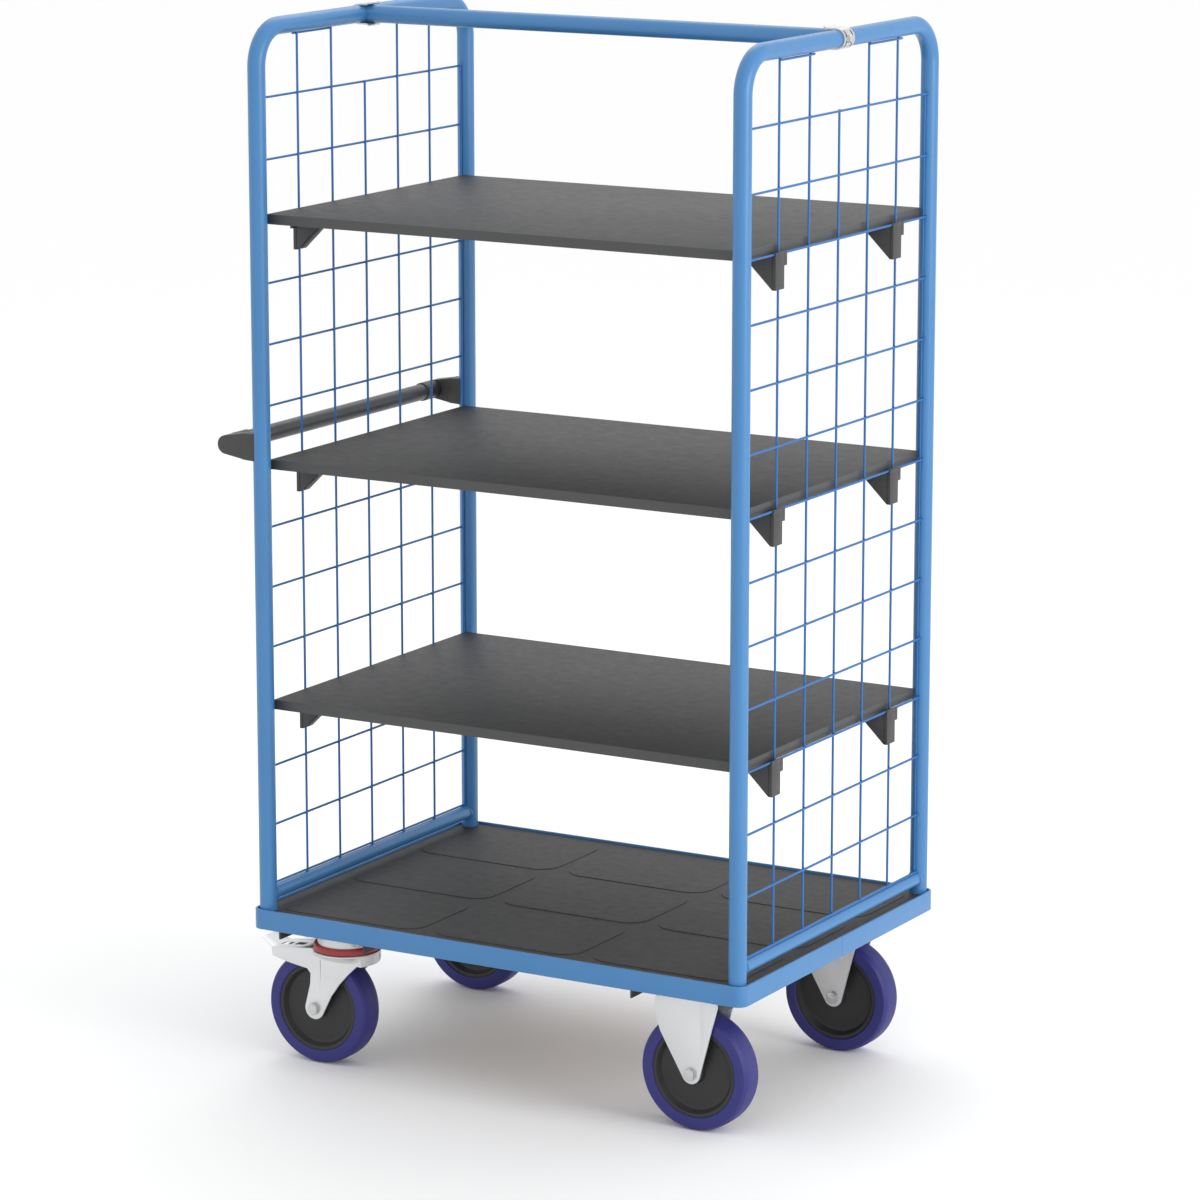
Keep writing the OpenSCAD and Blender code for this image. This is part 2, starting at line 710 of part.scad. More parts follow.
deck_frame();
deck_board();
deck_mat();
cross_rail_push();
cross_rail_far();
end_tube_push();
end_tube_far();
foot_tube_push();
foot_tube_far();
mesh_push();
mesh_far();
tie_bar();
tie_bar_plugs();
tie_clamp_push();
tie_clamp_far();
tie_bolts();
shelf_low();
shelf_mid();
shelf_top();
shelf_edge_low();
shelf_edge_mid();
shelf_edge_top();
brackets_low();
brackets_mid();
brackets_top();
handle_bar();
handle_bracket_front();
handle_bracket_back();
handle_screws();
deck_screws();
caster_bolts();
fixed_fork_front();
fixed_axle_front();
fixed_hub_front();
fixed_tyre_front();
fixed_fork_back();
fixed_axle_back();
fixed_hub_back();
fixed_tyre_back();
swivel_plate_front();
swivel_seal_front();
kingpin_front();
swivel_fork_front();
swivel_axle_front();
swivel_hub_front();
swivel_tyre_front();
pedal_front();
brake_shoe_front();
swivel_plate_back();
swivel_seal_back();
kingpin_back();
swivel_fork_back();
swivel_axle_back();
swivel_hub_back();
swivel_tyre_back();
pedal_back();
brake_shoe_back();
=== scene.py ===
# %% [markdown]
# # Shelf trolley
# A load deck on four casters, a meshed tube frame at each end, three shelves and a push
# handle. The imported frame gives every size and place, so each piece below is built where
# the frame says. Pieces whose plain shape is already right keep it and get a finish.

# %% Load the frame
import json
import math

import bmesh
import bpy
from mathutils import Matrix, Vector


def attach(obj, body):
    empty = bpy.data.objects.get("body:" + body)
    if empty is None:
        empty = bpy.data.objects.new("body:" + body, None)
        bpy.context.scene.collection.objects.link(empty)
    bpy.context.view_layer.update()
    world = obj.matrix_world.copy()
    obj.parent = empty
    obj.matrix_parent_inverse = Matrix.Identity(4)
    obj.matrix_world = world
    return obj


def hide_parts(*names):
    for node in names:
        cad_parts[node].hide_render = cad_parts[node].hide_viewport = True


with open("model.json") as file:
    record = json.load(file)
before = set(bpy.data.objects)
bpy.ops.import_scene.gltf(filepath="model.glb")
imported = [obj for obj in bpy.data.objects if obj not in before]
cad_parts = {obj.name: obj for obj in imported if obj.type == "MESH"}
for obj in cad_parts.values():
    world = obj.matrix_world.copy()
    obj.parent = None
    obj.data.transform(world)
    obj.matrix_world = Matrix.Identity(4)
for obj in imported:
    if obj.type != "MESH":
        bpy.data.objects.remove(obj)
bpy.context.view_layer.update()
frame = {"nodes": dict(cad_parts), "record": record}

MM = 0.001
NODES = frame["nodes"]

# %% [markdown]
# ## Finishes
# Real finishes are never one flat value. Each one here is a Principled shader whose colour
# and roughness drift with a soft noise, whose surface has a fine bump, and whose edges are
# rubbed a little lighter or darker. Noise reads Object coordinates, in metres, so a scale
# of 400 means grains of a few millimetres.

# %% A small kit for node trees
def add(tree, kind, **values):
    node = tree.nodes.new(kind)
    for key, value in values.items():
        if key in node.inputs:
            node.inputs[key].default_value = value
        else:
            setattr(node, key, value)
    return node


def noise(tree, vector, scale, detail=3.0, rough=0.5):
    node = add(tree, "ShaderNodeTexNoise")
    node.inputs["Scale"].default_value = scale
    node.inputs["Detail"].default_value = detail
    node.inputs["Roughness"].default_value = rough
    tree.links.new(vector, node.inputs["Vector"])
    return node.outputs["Fac"]


def spread(tree, value, low, high, to_low, to_high):
    node = add(tree, "ShaderNodeMapRange")
    limits = {"From Min": low, "From Max": high, "To Min": to_low, "To Max": to_high}
    for name, number in limits.items():
        node.inputs[name].default_value = number
    tree.links.new(value, node.inputs["Value"])
    return node.outputs["Result"]


def mix(tree, fac, first, second):
    node = add(tree, "ShaderNodeMix", data_type="RGBA")
    tree.links.new(fac, node.inputs["Factor"])
    colours = [s for s in node.inputs if s.type == "RGBA"]
    for socket, value in zip(colours, (first, second)):
        if isinstance(value, tuple):
            socket.default_value = (*value, 1.0)
        else:
            tree.links.new(value, socket)
    return [s for s in node.outputs if s.type == "RGBA"][0]


def edge_mask(tree, radius):
    """1 on sharp edges and 0 on flats, from how far a rounded normal leans from the true one."""
    bevel = add(tree, "ShaderNodeBevel", samples=4)
    bevel.inputs["Radius"].default_value = radius
    true = add(tree, "ShaderNodeNewGeometry")
    dot = add(tree, "ShaderNodeVectorMath", operation="DOT_PRODUCT")
    tree.links.new(bevel.outputs["Normal"], dot.inputs[0])
    tree.links.new(true.outputs["Normal"], dot.inputs[1])
    return spread(tree, dot.outputs["Value"], 0.98, 0.80, 0.0, 1.0)


def finish(name, colour, drift, worn, roughness, metallic=0.0, grain=500.0, bump=0.05,
           specular=0.5, coat=0.0, cloud=6.0, edge=0.0012, wear=0.5):
    """A procedural finish: colour drifts to drift, edges rub to worn, grain sets the bump."""
    material = bpy.data.materials.new(name)
    material.use_nodes = True
    tree = material.node_tree
    shader = tree.nodes["Principled BSDF"]
    shader.inputs["Metallic"].default_value = metallic
    shader.inputs["Specular IOR Level"].default_value = specular
    shader.inputs["Coat Weight"].default_value = coat
    shader.inputs["Coat Roughness"].default_value = 0.25
    place = add(tree, "ShaderNodeTexCoord").outputs["Object"]
    clouds = noise(tree, place, cloud, 4.0)
    fine = noise(tree, place, grain, 2.0)
    scuffs = noise(tree, place, cloud * 9, 6.0, 0.7)
    body = mix(tree, spread(tree, clouds, 0.35, 0.65, 0.0, 1.0), colour, drift)
    rubbed = add(tree, "ShaderNodeMath", operation="MULTIPLY")
    tree.links.new(edge_mask(tree, edge), rubbed.inputs[0])
    tree.links.new(spread(tree, scuffs, 0.42, 0.62, 0.0, wear), rubbed.inputs[1])
    tree.links.new(mix(tree, rubbed.outputs[0], body, worn), shader.inputs["Base Color"])
    low, high = roughness
    tree.links.new(spread(tree, scuffs, 0.3, 0.7, low, high), shader.inputs["Roughness"])
    relief = add(tree, "ShaderNodeBump")
    relief.inputs["Strength"].default_value = bump
    relief.inputs["Distance"].default_value = 0.0004
    tree.links.new(fine, relief.inputs["Height"])
    tree.links.new(relief.outputs["Normal"], shader.inputs["Normal"])
    return material


# %% The trolley's finishes
blue_paint = finish("blue_powder_coat", (0.045, 0.190, 0.425), (0.040, 0.180, 0.405),
                    (0.22, 0.42, 0.70), (0.34, 0.44), grain=900, bump=0.10, coat=0.15)
# The wires' blue: a darker copy of the tubes' powder coat, painted shade, not a different paint.
wire_painted_shade = finish("blue_wire_painted_shade", (0.008, 0.125, 0.38), (0.007, 0.115, 0.35),
                    (0.12, 0.32, 0.62), (0.36, 0.46), grain=900, bump=0.08)
black_paint = finish("black_paint", (0.035, 0.033, 0.032), (0.045, 0.042, 0.04),
                     (0.12, 0.12, 0.12), (0.40, 0.52), grain=700, bump=0.08)
mat_rubber = finish("mat_rubber", (0.034, 0.034, 0.035), (0.039, 0.039, 0.040),
                    (0.08, 0.08, 0.08), (0.54, 0.64), grain=1400, bump=0.35, specular=0.3)
shelf_coat = finish("shelf_coating", (0.034, 0.034, 0.035), (0.038, 0.038, 0.039),
                    (0.075, 0.075, 0.075), (0.50, 0.60), grain=1600, bump=0.25, specular=0.26)
edge_band = finish("edge_band", (0.048, 0.049, 0.050), (0.054, 0.055, 0.056),
                   (0.12, 0.12, 0.12), (0.38, 0.50), grain=900, bump=0.12)
plywood = finish("plywood_edge", (0.26, 0.17, 0.10), (0.20, 0.13, 0.075),
                 (0.34, 0.24, 0.15), (0.60, 0.75), grain=300, bump=0.3)
moulded_black = finish("moulded_black", (0.036, 0.036, 0.037), (0.043, 0.043, 0.044),
                       (0.085, 0.085, 0.088), (0.42, 0.55), grain=1500, bump=0.22)
grip_grey = finish("grip_grey", (0.042, 0.043, 0.045), (0.049, 0.050, 0.052),
                   (0.09, 0.09, 0.09), (0.34, 0.44), grain=1100, bump=0.12)
hub_nylon = finish("hub_nylon", (0.020, 0.020, 0.021), (0.025, 0.025, 0.026),
                   (0.06, 0.06, 0.06), (0.42, 0.52), grain=1200, bump=0.14, specular=0.4)
tyre_blue = finish("tyre_blue", (0.022, 0.022, 0.155), (0.026, 0.026, 0.17),
                   (0.13, 0.13, 0.26), (0.46, 0.58), grain=800, bump=0.14, specular=0.4)
zinc_plate = finish("zinc_plate", (0.70, 0.71, 0.72), (0.68, 0.69, 0.70),
                    (0.80, 0.81, 0.82), (0.34, 0.37), metallic=0.7, grain=900, bump=0.02,
                    cloud=8, wear=0.3)
bright_zinc = finish("bright_zinc", (0.60, 0.60, 0.59), (0.54, 0.54, 0.54),
                     (0.80, 0.81, 0.82), (0.26, 0.34), metallic=0.8, grain=900, bump=0.04,
                     cloud=20, wear=0.4)
seal_red = finish("seal_red", (0.42, 0.035, 0.035), (0.36, 0.03, 0.03),
                  (0.55, 0.10, 0.10), (0.34, 0.44), grain=900, bump=0.08)
shoe_rubber = finish("shoe_rubber", (0.03, 0.03, 0.031), (0.038, 0.038, 0.039),
                     (0.07, 0.07, 0.07), (0.60, 0.72), grain=900, bump=0.3)
print("finishes", len(bpy.data.materials))

FINISH_OF_SLOT = {
    "blue_steel": blue_paint, "deck_board": plywood, "deck_mat": mat_rubber,
    "black_steel": black_paint, "zinc": bright_zinc, "caster_steel": zinc_plate,
    "shelf_board": shelf_coat, "shelf_edge": edge_band, "black_plastic": moulded_black,
    "handle_grip": grip_grey, "hub_plastic": hub_nylon, "tyre_rubber": tyre_blue,
    "seal_plastic": seal_red, "shoe_rubber": shoe_rubber,
}
SLOT_OF = {part["node"]: part["material_slot"] for part in frame["record"]["subparts"]}
for name, node in NODES.items():
    node.data.materials.clear()
    node.data.materials.append(FINISH_OF_SLOT[SLOT_OF[name]])

# %% [markdown]
# ## Tools for shaping
# Everything below is drawn in millimetres, in the frame's own place, and made into metres
# at the very end. A handful of moves is enough: spin a profile, push a flat outline, run a
# round bar from point to point, and soften the hard edges that are left.

# %% Helpers that add shape to a bmesh
def lathe(bm, profile, centre, axis="Y", steps=96):
    """Spins a closed profile of (radius, along) points once round an axis through centre."""
    along, out = {"X": ((1, 0, 0), (0, 0, 1)), "Y": ((0, 1, 0), (1, 0, 0)),
                  "Z": ((0, 0, 1), (1, 0, 0))}[axis]
    along, out, centre = Vector(along), Vector(out), Vector(centre)
    verts = [bm.verts.new(centre + out * r + along * a) for r, a in profile]
    edges = [bm.edges.new(pair) for pair in zip(verts, verts[1:] + verts[:1])]
    bmesh.ops.spin(bm, geom=verts + edges, cent=centre, axis=along, angle=2 * math.pi,
                   steps=steps, use_merge=True)
    bmesh.ops.remove_doubles(bm, verts=bm.verts, dist=0.001)


def slab(bm, outline, axis, low, high):
    """Pushes a flat outline, drawn square to an axis, from low to high along that axis."""
    place = {"X": lambda a, b: (low, a, b), "Y": lambda a, b: (a, low, b),
             "Z": lambda a, b: (a, b, low)}[axis]
    verts = [bm.verts.new(place(*point)) for point in outline]
    face = bm.faces.new(verts)
    grown = bmesh.ops.extrude_face_region(bm, geom=[face])["geom"]
    top = [g for g in grown if isinstance(g, bmesh.types.BMVert)]
    step = {"X": (1, 0, 0), "Y": (0, 1, 0), "Z": (0, 0, 1)}[axis]
    bmesh.ops.translate(bm, verts=top, vec=Vector(step) * (high - low))
    return verts + top


def block(bm, low, high):
    """A box between two corners."""
    low, high = Vector(low), Vector(high)
    return bmesh.ops.create_cube(bm, size=1, matrix=Matrix.LocRotScale(
        (low + high) / 2, None, high - low))["verts"]


def rod(bm, start, end, radius, sides=24):
    """A round bar from start to end."""
    start, end = Vector(start), Vector(end)
    turn = (end - start).to_track_quat("Z", "Y").to_matrix().to_4x4()
    return bmesh.ops.create_cone(bm, cap_ends=True, segments=sides, radius1=radius,
                                 radius2=radius, depth=(end - start).length,
                                 matrix=Matrix.Translation((start + end) / 2) @ turn)["verts"]


def soften(bm, width, segments=2, angle=30.0, where=None):
    """Rounds every edge sharper than angle, or those of them that where() picks."""
    edges = [e for e in bm.edges if len(e.link_faces) == 2
             and e.calc_face_angle(0.0) > math.radians(angle) and (where is None or where(e))]
    bmesh.ops.bevel(bm, geom=edges, offset=width, offset_type="OFFSET", segments=segments,
                    profile=0.5, affect="EDGES", clamp_overlap=True, material=-1)


def round_loop(bm, length, width, radius, height):
    """The edges of a level rectangle with round corners, six steps to a corner."""
    scratch = bmesh.new()
    square = bmesh.ops.create_grid(scratch, x_segments=1, y_segments=1, size=0.5)["verts"]
    bmesh.ops.scale(scratch, verts=square, vec=(length, width, 1))
    bmesh.ops.bevel(scratch, geom=square, offset=radius, offset_type="OFFSET", segments=6,
                    profile=0.5, affect="VERTICES", clamp_overlap=True, material=-1)
    corners = [v.co.xy for v in max(scratch.faces, key=lambda f: len(f.verts)).verts]
    verts = [bm.verts.new((x, y, height)) for x, y in corners]
    scratch.free()
    return [bm.edges.new(pair) for pair in zip(verts, verts[1:] + verts[:1])]


def ring_of_loops(bm, loops):
    """Joins each loop to the next and the last to the first: a closed frame."""
    for first, second in zip(loops, loops[1:] + loops[:1]):
        bmesh.ops.bridge_loops(bm, edges=first + second)


def round_slab(bm, length, width, radius, low, high, middle=(0, 0)):
    """A level plate with round corners between two heights."""
    before = set(bm.verts)
    edges = round_loop(bm, length, width, radius, low)
    face = bmesh.ops.contextual_create(bm, geom=edges)["faces"][0]
    grown = bmesh.ops.extrude_face_region(bm, geom=[face])["geom"]
    bmesh.ops.translate(bm, vec=(0, 0, high - low),
                        verts=[g for g in grown if isinstance(g, bmesh.types.BMVert)])
    bmesh.ops.translate(bm, verts=[v for v in bm.verts if v not in before],
                        vec=(middle[0], middle[1], 0))


def mirrored(bm, axis, about=0.0):
    """Adds the mirror image of all there is so far."""
    geom = bm.verts[:] + bm.edges[:] + bm.faces[:]
    copy = bmesh.ops.duplicate(bm, geom=geom)["geom"]
    verts = [g for g in copy if isinstance(g, bmesh.types.BMVert)]
    factor = [-1 if name == axis else 1 for name in "XYZ"]
    offset = Vector([2 * about if name == axis else 0 for name in "XYZ"])
    bmesh.ops.scale(bm, verts=verts, vec=factor)
    bmesh.ops.translate(bm, verts=verts, vec=offset)
    bmesh.ops.reverse_faces(bm, faces=[g for g in copy if isinstance(g, bmesh.types.BMFace)])


def new_piece(bm, name, body, nodes, slot_name, crease=35.0):
    """Makes bm a piece in metres that rides body, stands for nodes and has the slot's finish."""
    bmesh.ops.recalc_face_normals(bm, faces=bm.faces)
    bmesh.ops.scale(bm, verts=bm.verts, vec=(MM, MM, MM))
    mesh = bpy.data.meshes.new(name)
    bm.to_mesh(mesh)
    bm.free()
    mesh.materials.append(FINISH_OF_SLOT[slot_name])
    mesh.shade_smooth()
    mesh.set_sharp_from_angle(angle=math.radians(crease))
    piece = bpy.data.objects.new(name, mesh)
    bpy.context.scene.collection.objects.link(piece)
    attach(piece, body)
    if nodes:
        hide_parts(*nodes)
    mesh.calc_loop_triangles()
    print(f"{name}: {len(mesh.loop_triangles)} triangles")
    return piece


# %% [markdown]
# ## Deck frame
# The real frame is steel angle, bent round the corners and closed with one weld in the
# middle of a short side. Six loops give its section: the foot of the upright leg, the
# ledge's edge, the ledge's top, the leg's inside, its top and back down the outside.

# %% Deck frame
deck_l, deck_w, deck_top = 957.0, 700.0, 283.0
rim_z, ledge_z, rim_t, ledge_w, rim_r = 248.0, 252.0, 4.0, 30.0, 18.0
inner = (deck_l - 2 * rim_t, deck_w - 2 * rim_t)
hole = (inner[0] - 2 * ledge_w, inner[1] - 2 * ledge_w)
bm = bmesh.new()
ring_of_loops(bm, [round_loop(bm, deck_l, deck_w, rim_r, rim_z),
                   round_loop(bm, *hole, 1.5, rim_z), round_loop(bm, *hole, 1.5, ledge_z),
                   round_loop(bm, *inner, rim_r - rim_t, ledge_z),
                   round_loop(bm, *inner, rim_r - rim_t, deck_top),
                   round_loop(bm, deck_l, deck_w, rim_r, deck_top)])
bmesh.ops.recalc_face_normals(bm, faces=bm.faces)
soften(bm, 1.1, 3, angle=60)
for y in (-0.9, 0.0, 0.9):
    bmesh.ops.bisect_plane(bm, geom=bm.verts[:] + bm.edges[:] + bm.faces[:], dist=0.001,
                           plane_co=(0, y, 0), plane_no=(0, 1, 0))
seam = [v for v in bm.verts if abs(v.co.y) < 0.01 and v.co.x > deck_l / 2 - 1.2]
bmesh.ops.translate(bm, verts=seam, vec=(-0.7, 0, 0))
new_piece(bm, "deck_rim", "frame", ["deck_frame"], "blue_steel")

# %% [markdown]
# A folded channel, open below, runs across the deck at each end and carries two casters.
# Folded steel has round bends, so the section is pushed across the deck and its long edges
# are softened; then the two flanges are cut back a little shorter than the web.

# %% Cross rails
caster_x, rail_half = 347.5, 314.0
rail_back, rail_front, rail_t, web_low, flange_low = 100.0, 75.0, 4.0, 244.0, 222.5
for side, end in ((-1, "push"), (1, "far")):
    bm = bmesh.new()
    middle = side * caster_x
    section = [(-rail_back, rim_z - 0.05), (-rail_back, flange_low),
               (rail_t - rail_back, flange_low), (rail_t - rail_back, web_low),
               (rail_front - rail_t, web_low), (rail_front - rail_t, flange_low),
               (rail_front, flange_low), (rail_front, rim_z - 0.05)]
    slab(bm, [(middle + x, z) for x, z in section], "Y", -rail_half, rail_half)
    bmesh.ops.recalc_face_normals(bm, faces=bm.faces)
    soften(bm, 1.6, 3)
    for y0, y1 in ((-330, -313.5), (313.5, 330)):
        block(bm, (middle - rail_back + 2, y0, web_low), (middle + rail_front - 2, y1,
                                                        rim_z - 0.05))
    new_piece(bm, f"channel_{end}", "frame", [f"cross_rail_{end}"], "black_steel")

# %% [markdown]
# ## Mat
# The moulded mat keeps its shape from the frame. Its nine pads are drawn again here with
# soft edges, a hair over the frame's own, so that they catch the light as rubber does.

# %% Mat pads
pad_l, pad_w, pad_r, pad_top, mat_level = 284.6, 198.6, 40, 280.05, 278.6
pad_step_x, pad_step_y = 307, 221
bm = bmesh.new()
for y in (-pad_step_y, 0, pad_step_y):
    for x in (-pad_step_x, 0, pad_step_x):
        round_slab(bm, pad_l, pad_w, pad_r, mat_level, pad_top, (x, y))
bmesh.ops.recalc_face_normals(bm, faces=bm.faces)
soften(bm, 0.7, 2, angle=60)
new_piece(bm, "mat_pads", "frame", [], "deck_mat", crease=15)

# %% [markdown]
# ## End frames
# Each hoop is one tube, drawn and bent: a circle is pushed up the post, spun through the
# bend, pushed across the top, spun again and pushed down.

# %% End hoops
post_x, post_y, tube_r, top_z, bend_r = 457.0, 329.0, 15.0, 1785.0, 65.0
tube_sides = 40
post_run, top_run = top_z - bend_r - ledge_z, 2 * (post_y - bend_r)


def push(bm, edges, vec):
    """Draws open edges out along vec and gives back the new ends."""
    grown = bmesh.ops.extrude_edge_only(bm, edges=edges)["geom"]
    bmesh.ops.translate(bm, verts=[g for g in grown if isinstance(g, bmesh.types.BMVert)],
                        vec=vec)
    return [g for g in grown if isinstance(g, bmesh.types.BMEdge)]


def bend(bm, edges, centre):
    """Turns open edges a quarter round about centre and gives back the new ends."""
    geom = edges + list({v for e in edges for v in e.verts})
    made = bmesh.ops.spin(bm, geom=geom, cent=centre, axis=(1, 0, 0),
                          angle=-math.pi / 2, steps=20)["geom_last"]
    return [g for g in made if isinstance(g, bmesh.types.BMEdge)]


for side, end in ((-1, "push"), (1, "far")):
    bm = bmesh.new()
    x = side * post_x
    bmesh.ops.create_circle(bm, cap_ends=False, segments=tube_sides, radius=tube_r,
                            matrix=Matrix.Translation((x, -post_y, ledge_z)))
    edges = push(bm, bm.edges[:], (0, 0, post_run))
    edges = bend(bm, edges, (x, -post_y + bend_r, top_z - bend_r))
    edges = push(bm, edges, (0, top_run, 0))
    edges = bend(bm, edges, (x, post_y - bend_r, top_z - bend_r))
    push(bm, edges, (0, 0, -post_run))
    bmesh.ops.holes_fill(bm, edges=[e for e in bm.edges if e.is_boundary], sides=0)
    new_piece(bm, f"hoop_{end}", "frame", [f"end_tube_{end}"], "blue_steel")

# %% [markdown]
# The foot tube is coped onto the posts and welded all round. A weld shows as a low
# rippled collar, so each one is a torus whose ring is pushed in and out a little.

# %% Foot tubes
foot_r, foot_z = 12.0, 306.0


def weld_collar(bm, centre, axis, radius, bead=1.5, ripples=26):
    """A bead of weld round a tube."""
    before = set(bm.verts)
    lathe(bm, [(radius + bead * math.cos(a), bead * math.sin(a))
               for a in (math.tau * k / 8 for k in range(8))], centre, axis, 78)
    centre = Vector(centre)
    for v in (v for v in bm.verts if v not in before):
        spoke = v.co - centre
        around = math.atan2(spoke.z, spoke.x if axis == "Y" else spoke.y)
        v.co = centre + spoke * (1 + 0.022 * math.sin(ripples * around))


for side, end in ((-1, "push"), (1, "far")):
    bm = bmesh.new()
    x = side * post_x
    rod(bm, (x, -post_y, foot_z), (x, post_y, foot_z), foot_r, 40)
    for y in (-post_y + tube_r + 0.5, post_y - tube_r - 0.5):
        weld_collar(bm, (x, y, foot_z), "Y", foot_r + 0.3)
    new_piece(bm, f"foot_bar_{end}", "frame", [f"foot_tube_{end}"], "blue_steel")

# %% [markdown]
# ## Wire mesh
# Drawn wire is cut to length and spot welded where it crosses. Upright wires lie in the
# plane of the posts and the rows on their outer side. Each crossing has a small flat
# nugget of weld between the two wires. Wires this thin look pale in the tubes' blue, so
# they get a darker copy of it, which is painted shade and not a different paint.

# %% Wire mesh
wire_r, pitch, row_z, row_count = 2.0, 103.8, 422.5, 13
row_x = post_x + 2 * wire_r + 0.05
foot_top = foot_z + foot_r
under_top = top_z - tube_r
top_row = row_z + (row_count - 1) * pitch
row_half = post_y - 14.6
for side, end in ((-1, "push"), (1, "far")):
    bm = bmesh.new()
    levels = [foot_top + wire_r] + [row_z + k * pitch for k in range(row_count)]
    for n in range(-3, 4):
        tall = abs(n) in (1, 2)
        y = n * pitch
        rod(bm, (side * post_x, y, foot_top - 0.3),
            (side * post_x, y, under_top if tall else top_row + wire_r), wire_r, 14)
        for z in levels + ([under_top - wire_r] if tall else []):
            bmesh.ops.create_icosphere(bm, subdivisions=2, radius=1.0, matrix=Matrix.LocRotScale(
                Vector((side * (post_x + wire_r), y, z)), None, Vector((1.7, 2.5, 2.5))))
    for z in levels:
        rod(bm, (side * row_x, -row_half, z), (side * row_x, row_half, z), wire_r, 14)
    for s in (-1.5, 1.5):
        rod(bm, (side * row_x, s * pitch - 58.9, under_top - wire_r),
            (side * row_x, s * pitch + 58.9, under_top - wire_r), wire_r, 14)
    wires = new_piece(bm, f"wires_{end}", "frame", [f"mesh_{end}"], "blue_steel", crease=50)
    # The wires take the darker copy of the tubes' blue, which is painted shade.
    wires.data.materials[0] = wire_painted_shade

# %% [markdown]
# ## Tie bar and clamps
# A tube runs from hoop to hoop. A punched strap wraps each hoop's top, its lips grip the
# bar and one bolt draws them together. The strap starts as a strip of faces, loses the
# ones where the slots are, and only then gets its thickness. A thin dark sheet under it,
# painted shade, shows through the slots as the shadow in the gap between strap and tube.

# %% Tie bar
bm = bmesh.new()
rod(bm, (-post_x + 4, 0, top_z), (post_x - 4, 0, top_z), tube_r, 40)
new_piece(bm, "top_bar", "frame", ["tie_bar", "tie_bar_plugs"], "blue_steel")

# %% Clamps
strap_r, strap_t, strap_half = 15.1, 2.5, 18.0
arc = [(strap_r * math.cos(a), strap_r * math.sin(a))
       for a in (math.radians(90 - 10 * k) for k in range(19))]
strap_line = [(-21.8, 17.9), (-17, strap_r)] + arc + [(-17, -strap_r), (-21.8, -17.9)]
for side, end in ((-1, "push"), (1, "far")):
    bm = bmesh.new()
    verts = [bm.verts.new((side * (post_x + x), -strap_half, top_z + z)) for x, z in strap_line]
    edges = [bm.edges.new(pair) for pair in zip(verts, verts[1:])]
    for step in (5.5, 4.0, 17.0, 4.0, 5.5):
        edges = push(bm, edges, (0, step, 0))
    slots = []
    for f in bm.faces:
        c = f.calc_center_median()
        turn = math.degrees(math.atan2(c.z - top_z, side * c.x - post_x))
        if 8 < abs(c.y) < 13 and side * c.x > post_x and 14 < abs(turn) < 46:
            slots.append(f)
    bmesh.ops.delete(bm, geom=slots, context="FACES")
    bmesh.ops.recalc_face_normals(bm, faces=bm.faces)
    middle = max(bm.faces, key=lambda f: side * f.calc_center_median().x)
    if middle.normal.x * side < 0:
        bmesh.ops.reverse_faces(bm, faces=bm.faces)
    bmesh.ops.solidify(bm, geom=bm.faces[:], thickness=-strap_t)
    new_piece(bm, f"strap_{end}", "frame", [f"tie_clamp_{end}"], "zinc")
    # A thin dark sheet under the strap: painted shade for the gap between strap and tube, seen
    # through the slots.
    bm = bmesh.new()
    slab(bm, [(side * (post_x + x * r / strap_r), top_z + z * r / strap_r)
              for r, line in ((15.02, arc), (15.07, arc[::-1])) for x, z in line],
         "Y", -17.0, 17.0)
    new_piece(bm, f"strap_shade_sheet_{end}", "frame", [], "black_plastic")


def hex_outline(middle, flats):
    """Six corners round a point, this wide across the flats."""
    r = flats / math.sqrt(3)
    return [(middle[0] + r * math.cos(a), middle[1] + r * math.sin(a))
            for a in (math.radians(60 * k + 30) for k in range(6))]


bm = bmesh.new()
seat = post_x + strap_r + strap_t
slab(bm, hex_outline((0, top_z), 12.2), "X", seat + 0.4, seat + 4.0)
soften(bm, 0.7, 2, angle=40, where=lambda e: max(v.co.x for v in e.verts) > seat + 3.9)
rod(bm, (seat - 0.6, 0, top_z), (seat + 0.5, 0, top_z), 8.0, 40)
mirrored(bm, "X")
new_piece(bm, "clamp_bolts", "frame", ["tie_bolts"], "zinc")

# %% [markdown]
# ## Shelves
# Coated fibreboard with a glued plastic band round its edge. Band and board part in a fine
# line, as both have a small round.

# %% Shelves
shelf_l, shelf_w, shelf_t, edge_t = 906.0, 622.0, 17.0, 2.0
shelf_lows = {"low": 628.1, "mid": 1043.3, "top": 1458.5}
for name, low in shelf_lows.items():
    bm = bmesh.new()
    block(bm, (-shelf_l / 2 + edge_t, -shelf_w / 2 + edge_t, low),
          (shelf_l / 2 - edge_t, shelf_w / 2 - edge_t, low + shelf_t))
    soften(bm, 0.35, 2)
    new_piece(bm, f"board_{name}", "frame", [f"shelf_{name}"], "shelf_board")
    bm = bmesh.new()
    band = [(shelf_l, shelf_w, 2.0), (shelf_l - 2 * edge_t, shelf_w - 2 * edge_t, 0.6)]
    ring_of_loops(bm, [round_loop(bm, *band[0], low), round_loop(bm, *band[1], low),
                       round_loop(bm, *band[1], low + shelf_t),
                       round_loop(bm, *band[0], low + shelf_t)])
    bmesh.ops.recalc_face_normals(bm, faces=bm.faces)
    soften(bm, 0.8, 3, angle=60)
    new_piece(bm, f"band_{name}", "frame", [f"shelf_edge_{name}"], "shelf_edge")

# %% [markdown]
# ## Shelf brackets
# A gusset under the shelf is slit so that it straddles the upright wire. Outside the mesh
# a plate covers the wire and hooks up behind the row wire, with a short tab beside it. The
# same moulding serves both ends, turned half round.

